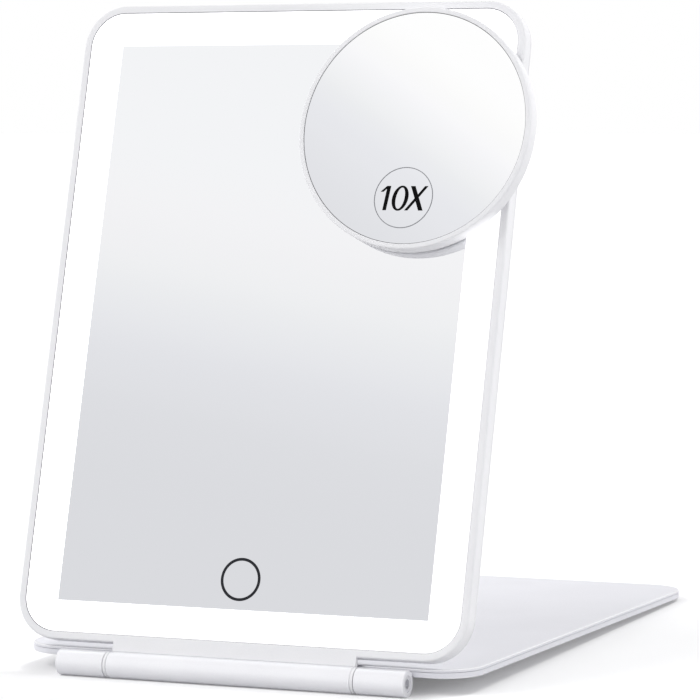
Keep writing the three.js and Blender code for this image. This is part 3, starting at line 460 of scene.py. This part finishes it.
# Touch ring printed on the glass
touch = {"z": 33.5, "inner": 6.78, "outer": 7.82, "low": 0.01, "high": 0.05, "sides": 160}
touchSection = flatRing(touch["inner"], touch["outer"], touch["low"], touch["high"])
touchRing = offGlass(turned(touchSection, touch["sides"], True), 0, touch["z"])
makePiece("touch_print", touchRing, "mirror_panel", printedInk, ["touch_ring"])
print("panel made")

# Hinge: a centre barrel with its tang on the panel, end barrels with their leaves on the cover
barrel = {"radius": 4.8, "bore": 3.0, "round": 0.35, "centreEnd": 48.0, "start": 49.5, "end": 68.5}
tang = {"half": 40, "foot": 4.4, "top": 11.7, "front": 1.9, "back": 3.1, "corner": 0.8}
leaf = {"from": 50.0, "to": 68.0, "foot": 3.9, "top": 19.2, "front": -3.55, "back": -2.35, "corner": 0.8}
washer = {"inner": 2.05, "outer": 4.7, "start": 48.1, "end": 49.25, "round": 0.15}
plug = {
    "radius": 2.95, "back": 62.0, "front": 68.3, "ease": 0.2, "hexHalf": 1.65, "hexDepth": 3.0, "sides": 96}


def tube(start, end):
    # hinge barrel from start to end along its axis, with both outer edges rounded
    r, rounding = barrel["radius"], barrel["round"]
    return np.concatenate([
        [(barrel["bore"], start)], arc(r - rounding, start + rounding, rounding, -90, 0),
        arc(r - rounding, end - rounding, rounding, 0, 90), [(barrel["bore"], end)]])


centreTube = turned(tube(-barrel["centreEnd"], barrel["centreEnd"]), closed=True)
makePiece(
    "centre_barrel", alongX(centreTube), "mirror_panel", blastedAluminium, ["hinge_centre"])
tangPlan = outline(-tang["half"], tang["half"], tang["foot"], tang["top"], tang["corner"], 6)
makePiece(
    "hinge_tang", plate(tangPlan, easedSheet(tang["front"], tang["back"])), "mirror_panel",
    blastedAluminium, ["hinge_centre"])

# Set screw: a plug with a hexagon socket, whose radius is the half width over the cosine of the angle from
# the middle of its nearest side
plugProfile = np.array([
    (0, plug["back"]), (plug["radius"], plug["back"]), (plug["radius"], plug["front"] - plug["ease"]),
    (plug["radius"] - plug["ease"], plug["front"]), (plug["hexHalf"], plug["front"]),
    (plug["hexHalf"], plug["front"] - plug["hexDepth"]), (0, plug["front"] - plug["hexDepth"])])
plugAngles = np.linspace(0, 2 * np.pi, plug["sides"], endpoint=False)
plugRadii = plugProfile[:, :1] * np.ones(plug["sides"])
plugRadii[4:6] = plug["hexHalf"] / np.cos((plugAngles + np.pi / 6) % (np.pi / 3) - np.pi / 6)
washerCentre = washer["outer"] - washer["round"]
washerProfile = np.concatenate([
    [(washer["inner"], washer["start"])],
    arc(washerCentre, washer["start"] + washer["round"], washer["round"], -90, 0, 3),
    arc(washerCentre, washer["end"] - washer["round"], washer["round"], 0, 90, 3),
    [(washer["inner"], washer["end"])]])
for side, flip in (("left", -1), ("right", 1)):
    makePiece(
        "end_barrel_" + side, alongX(turned(tube(barrel["start"], barrel["end"]), closed=True), flip),
        "stand_cover", blastedAluminium, ["knuckle_" + side])
    leafEnds = sorted((flip * leaf["from"], flip * leaf["to"]))
    leafPlan = outline(*leafEnds, leaf["foot"], leaf["top"], leaf["corner"], 6)
    makePiece(
        "cover_leaf_" + side, laidFlat(plate(leafPlan, easedSheet(leaf["front"], leaf["back"]))),
        "stand_cover", blastedAluminium, ["knuckle_" + side])
    makePiece(
        "spacer_" + side, alongX(turned(washerProfile, closed=True), flip), "stand_cover",
        turnedNylon, ["hinge_washer_" + side])
    makePiece(
        "set_screw_" + side, alongX(turned(plugProfile, plug["sides"], radii=plugRadii), flip),
        "stand_cover", satinNickel, ["grub_screw_" + side])
print("hinge made")

# Cover: two plates with a fine seam between them. A bead in lighter metal, a painted highlight, fills the notch
# along the outer edge of each.
cover = {
    "foot": 5.2, "top": -4.8, "skinBack": -3.7, "shellFront": -3.55, "base": -1.45, "bead": 0.4, "gap": 0.02,
    "seamInset": 0.6, "faceInset": 0.8,
}
coverOutline = outline(-case["half"], case["half"], cover["foot"], case["top"], case["corner"])
notch = cover["bead"] + cover["gap"]
for name, node, seam, face, turn in (
        ("cover_top", "cover_skin", cover["skinBack"], cover["top"], 1),
        ("cover_base", "cover_shell", cover["shellFront"], cover["base"], -1)):
    bead = face + turn * cover["bead"]
    notchFloor = bead + turn * cover["gap"]
    plateProfile = [
        (cover["seamInset"], seam), (0, seam), (0, notchFloor), (notch, notchFloor), (notch, face),
        (cover["faceInset"], face)]
    makePiece(
        name + "_plate", laidFlat(plate(coverOutline, plateProfile)), "stand_cover",
        silverLacquer, [node])
    beadProfile = np.concatenate([
        arc(cover["bead"], bead, cover["bead"], 180, 180 + turn * 90), [(cover["bead"], bead)]])
    makePiece(
        name + "_bead", laidFlat(loop(coverOutline, beadProfile)), "stand_cover", paintedHighlightEdge)

# Feet: a strip with round ends whose height is counted from the level plane through the table
foot = {
    "x": 58, "half": 23, "y": 236.1, "halfDepth": 3.5, "height": 1.35, "corner": 3.3, "round": 0.4,
    "soleInset": 0.9, "topInset": 0.6,
}
footProfile = np.concatenate([
    [(foot["soleInset"], 0)], arc(foot["round"], foot["round"], foot["round"], 270, 180),
    [(0, foot["height"]), (foot["topInset"], foot["height"])]])
for side, flip in (("left", -1), ("right", 1)):
    middle = flip * foot["x"]
    plan = outline(
        middle - foot["half"], middle + foot["half"], foot["y"] - foot["halfDepth"],
        foot["y"] + foot["halfDepth"], foot["corner"])
    points, faces = plate(plan, footProfile)
    level = (points[:, 2] * math.sin(coverTilt) - barrel["radius"]) / math.cos(coverTilt)
    points = np.stack([points[:, 0], points[:, 2], level + points[:, 1]], -1)
    makePiece(
        "foot_pad_" + side, (points, faces), "stand_cover", mouldedSilicone,
        ["rubber_foot_" + side])
print("cover made")

# Magnifier: dish, rim and a concave glass whose height is the edge's, less the sag, plus the rise of a sphere
curve = (lens["radius"] ** 2 + lens["sag"] ** 2) / (2 * lens["sag"])


def lensHeight(r):
    # the rise of a sphere of that radius of curvature above the middle of the glass
    return lens["edge"] - lens["sag"] + curve - np.sqrt(curve ** 2 - r ** 2)


dish = {
    "outer": 44.8, "gap": 0.9, "front": 7.05, "floor": 2.0, "wallInner": 43.3, "seat": 4.1, "recess": 19.0,
    "roof": 2.6, "top": 3.5, "stem": 2.3, "footRound": 0.8, "frontRound": 0.15, "ledge": 3, "wall": 1.1,
    "sides": 192,
}
ledgeInner, recessOuter = dish["wallInner"] - dish["ledge"], dish["recess"] + dish["wall"]
dishProfile = np.concatenate([
    [(dish["stem"], dish["roof"]), (dish["recess"], dish["roof"]), (dish["recess"], dish["gap"])],
    arc(dish["outer"] - dish["footRound"], dish["gap"] + dish["footRound"], dish["footRound"], -90, 0),
    arc(dish["outer"] - dish["frontRound"], dish["front"] - dish["frontRound"], dish["frontRound"], 0, 90, 3),
    [(dish["wallInner"], dish["front"]), (dish["wallInner"], dish["seat"]), (ledgeInner, dish["seat"]),
     (ledgeInner, dish["floor"]), (recessOuter, dish["floor"]), (recessOuter, dish["top"]),
     (dish["stem"], dish["top"])]])
bezel = {"inner": 42.95, "back": 7.2, "front": 7.9, "outerRound": 0.5, "innerRound": 0.2, "backRound": 0.1}
rimProfile = np.concatenate([
    [(bezel["inner"], bezel["back"])],
    arc(dish["outer"] - bezel["backRound"], bezel["back"] + bezel["backRound"],
        bezel["backRound"], -90, 0, 3),
    arc(dish["outer"] - bezel["outerRound"], bezel["front"] - bezel["outerRound"],
        bezel["outerRound"], 0, 90),
    arc(bezel["inner"] + bezel["innerRound"], bezel["front"] - bezel["innerRound"],
        bezel["innerRound"], 90, 180)])
rings = np.linspace(lens["radius"], 0, lens["rings"])
lensProfile = np.concatenate([
    [(0, lens["back"]), (lens["radius"], lens["back"])], np.stack([rings, lensHeight(rings)], -1)])
# suction cup as (radius, height): its hollow underside, the thin lip, the back, and the button in the dish
cupProfile = np.array([
    (0, 1.35), (8, 0.95), (16.5, 0.15), (17, 0.15), (17, 0.5), (12, 1.15), (7, 1.75), (4, 2.3), (3.2, 2.45),
    (2, 2.45), (2, 3.65), (3.2, 3.65), (3.2, 3.85), (0, 3.9)])
for name, profile, closed, slotName, material, node in (
        ("magnifier_dish", dishProfile, True, "case_plastic", mouldedAbs, "magnifier_housing"),
        ("magnifier_bezel", rimProfile, True, "case_plastic", mouldedAbs, "magnifier_rim"),
        ("magnifier_lens", lensProfile, False, "mirror_glass", paintedReflectionLens, "magnifier_glass"),
        ("magnifier_cup", cupProfile, False, "cup_silicone", clearSilicone, "suction_cup")):
    shape = offGlass(turned(profile, dish["sides"], closed), lens["x"], lens["z"])
    makePiece(name, shape, "magnifier", material, [node])

# Magnification printed on the lens inside a thin ring: flat figures lifted onto the curved glass
mark = {
    "x": -1.5, "z": -25.7, "ring": 11.2, "line": 0.3, "height": 9.06, "drop": 0.22, "slant": 0.107,
    "lift": 0.03, "thick": 0.05, "steps": 9, "ringSides": 160, "noughtSides": 96,
}
low, high = mark["lift"], mark["lift"] + mark["thick"]
half = mark["height"] / 2


def ontoLens(points):
    # the mark's own x and z moved to its place, its height added to the glass's
    x, z = points[:, 0] + mark["x"], points[:, 1] + mark["z"]
    return np.stack([
        lens["x"] + x, case["face"] - lensHeight(np.hypot(x, z)) - points[:, 2], lens["z"] + z], -1)


def stroke(start, end, width):
    # a bar from start to end whose ends are level, as wide as given along x
    rows = mark["steps"]
    share = np.linspace(0, 1, rows)[:, None]
    middle = np.array(start) * (1 - share) + np.array(end) * share
    sides = [middle - (width / 2, 0), middle + (width / 2, 0)]
    corners = [
        np.column_stack([sides[k], np.full(rows, z)]) for k, z in ((0, low), (1, low), (1, high), (0, high))]
    ends = np.array([[0, 1, 2, 3], [4 * rows - 1, 4 * rows - 2, 4 * rows - 3, 4 * rows - 4]])
    return np.stack(corners, 1).reshape(-1, 3), np.concatenate([gridFaces(rows, 4, False, True), ends])


lineIn, lineOut = mark["ring"] - mark["line"] / 2, mark["ring"] + mark["line"] / 2
ringPoints, ringFaces = turned(flatRing(lineIn, lineOut, low, high), mark["ringSides"], True)
makePiece("mark_ring", (ontoLens(ringPoints), ringFaces), "magnifier", hairlineInk)
# one: its stem and its flag; nought: an upright oval whose inner edge is narrower, so that its sides are bold
# and its ends thin; cross: a bold bar and a thin one
one = [((-6.45, -half), (-6.45, half), 1.38), ((-8.8, 2.35), (-6.7, half), 1.1)]
nought = {"middle": -1.26, "outer": (3.11, half + 0.14), "inner": (1.70, half - 0.57)}
cross = [((2.81, half), (7.61, -half), 1.74), ((8.04, half), (1.93, -half), 1.24)]
ovalPoints, ovalFaces = turned(flatRing(2, 1, low, high), mark["noughtSides"], True)
away = np.hypot(ovalPoints[:, 0], ovalPoints[:, 1])[:, None]
oval = ovalPoints[:, :2] / away * np.where(away > 1.5, nought["outer"], nought["inner"])
figures = joined([
    *[stroke(*bar) for bar in one],
    (np.column_stack([oval + (nought["middle"], 0), ovalPoints[:, 2]]), ovalFaces),
    *[stroke(*bar) for bar in cross]])
x, z, lift = figures[0].T
slanted = np.column_stack([x + z * mark["slant"], z - mark["drop"], lift])
makePiece("mark_figures", (ontoLens(slanted), figures[1]), "magnifier", blackInk)
print("magnifier made")

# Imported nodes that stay, with the finish of the real piece
kept = {
    "touch_sensor": copperFoil, "chassis": innerAbs, "led_strip": flexBoard, "battery_lead_red": redPvc,
    "battery_lead_black": blackPvc, "strip_lead": redPvc, "battery": pouchFoil, "main_board": solderMask,
    "charging_socket": nickelSteel, "case_magnet": nickelSteel, "case_screw": nickelSteel,
    "tang_screw": nickelSteel, "friction_sleeve": nickelSteel, "cover_magnet": nickelSteel,
    "hinge_pin": nickelSteel,
}
for name, node in frame["nodes"].items():
    starts = [start for start in kept if name.startswith(start)]
    if starts and not node.hide_render:
        node.data.materials.clear()
        node.data.materials.append(kept[max(starts, key=len)])


def rayIsSeen(tree):
    # one for camera, glossy and transmitted rays, nought for the rest
    path = addNode(tree, "ShaderNodeLightPath")
    both = addNode(tree, "ShaderNodeMath", {
        0: path.outputs["Is Camera Ray"], 1: path.outputs["Is Glossy Ray"]}, operation="MAXIMUM").outputs[0]
    return addNode(tree, "ShaderNodeMath", {
        0: both, 1: path.outputs["Is Transmission Ray"]}, operation="MAXIMUM").outputs[0]


# Floor: paper that keeps the shadows. It is lifted a little for the camera, is as bright as the world in the
# mirrors, and returns less light to the object, so that the undersides stay dark.
floor = {
    "reach": 6.0, "seen": "#F6F6F7", "fleck": "#F3F3F4", "fleckSize": 3, "bounced": "#C4C4C6", "lift": 0.15,
    "roughness": 0.95,
}
reach = floor["reach"]
floorMesh = bpy.data.meshes.new("floor")
floorMesh.from_pydata(
    [(-reach, -reach, 0), (reach, -reach, 0), (reach, reach, 0), (-reach, reach, 0)], [], [(0, 1, 2, 3)])
floorObject = bpy.data.objects.new("floor", floorMesh)
bpy.context.scene.collection.objects.link(floorObject)
paper, tree, shader, where = newMaterial("studio_paper")
fleck = addNode(tree, "ShaderNodeTexNoise", {
    "Vector": where, "Scale": 1 / (floor["fleckSize"] * mm), "Detail": noise["fineDetail"]}).outputs["Fac"]
pale = addNode(tree, "ShaderNodeMix", {
    0: fleck, 6: linear(floor["seen"]), 7: linear(floor["fleck"])}, data_type="RGBA").outputs[2]
tone = addNode(tree, "ShaderNodeMix", {
    0: rayIsSeen(tree), 6: linear(floor["bounced"]), 7: pale}, data_type="RGBA").outputs[2]
looked = addNode(tree, "ShaderNodeLightPath").outputs["Is Camera Ray"]
lifted = addNode(tree, "ShaderNodeMath", {0: looked, 1: floor["lift"]}, operation="MULTIPLY").outputs[0]
tree.links.new(tone, shader.inputs["Base Color"])
tree.links.new(lifted, shader.inputs["Emission Strength"])
shader.inputs["Emission Color"].default_value = linear("#FFFFFF")
shader.inputs["Roughness"].default_value = floor["roughness"]
paper.cycles.emission_sampling = "NONE"
floorMesh.materials.append(paper)

# World: an even dome for the light it gives, plain white for rays that see it
worldLight = 0.32
world = bpy.data.worlds.new("studio")
bpy.context.scene.world = world
world.use_nodes = True
tree = world.node_tree
tree.nodes.clear()
lit = addNode(tree, "ShaderNodeBackground", {"Color": linear("#FFFFFF"), "Strength": worldLight}).outputs[0]
shown = addNode(tree, "ShaderNodeBackground", {"Color": linear("#FFFFFF"), "Strength": 1.0}).outputs[0]
mixed = addNode(tree, "ShaderNodeMixShader", {0: rayIsSeen(tree), 1: lit, 2: shown}).outputs[0]
addNode(tree, "ShaderNodeOutputWorld", {"Surface": mixed})

# Lamps: two from above, for the shadows on the cover and under its edge, and large soft ones all round
lamps = {
    "aboveLeft": {"from": (-0.5, -0.5, 0.7), "energy": 1.15, "angle": 30},
    "aboveBack": {"from": (0.3, 0.5, 0.8), "energy": 1.1, "angle": 20},
    "front": {"from": (-0.25, -0.95, 0.15), "energy": 0.72, "angle": 50},
    "right": {"from": (0.97, -0.1, 0.12), "energy": 1.4, "angle": 60},
    "rightLow": {"from": (0.99, -0.05, 0.04), "energy": 0.75, "angle": 20},
    "left": {"from": (-0.97, -0.1, 0.15), "energy": 1.4, "angle": 60},
    "back": {"from": (0.0, 0.97, 0.2), "energy": 0.8, "angle": 40},
}
for name, lamp in lamps.items():
    sun = bpy.data.lights.new(name, "SUN")
    sun.energy = lamp["energy"]
    sun.angle = math.radians(lamp["angle"])
    holder = bpy.data.objects.new(name, sun)
    bpy.context.scene.collection.objects.link(holder)
    holder.rotation_euler = Vector(lamp["from"]).to_track_quat("Z", "Y").to_euler()
    holder.visible_glossy = False  # the mirrors show the white dome, not the lamps

# Camera at the photograph's angle: place in metres, angles in degrees, lens and sensor in mm
view = {
    "place": (0.55669, -1.28548, 0.23384), "azimuth": 23.779, "elevation": 5.048, "roll": -0.714,
    "lens": 188.28, "sensor": 36, "farthest": 100,
}
camera = bpy.data.cameras.new("camera")
camera.lens = view["lens"]
camera.sensor_width = view["sensor"]
camera.clip_end = view["farthest"]
eye = bpy.data.objects.new("camera", camera)
bpy.context.scene.collection.objects.link(eye)
eye.matrix_world = (
    Matrix.Translation(view["place"]) @ Matrix.Rotation(math.radians(view["azimuth"]), 4, "Z")
    @ Matrix.Rotation(math.radians(90 - view["elevation"]), 4, "X")
    @ Matrix.Rotation(math.radians(view["roll"]), 4, "Z"))
bpy.context.scene.camera = eye
bpy.context.scene.view_settings.view_transform = "Standard"
print("scene set")
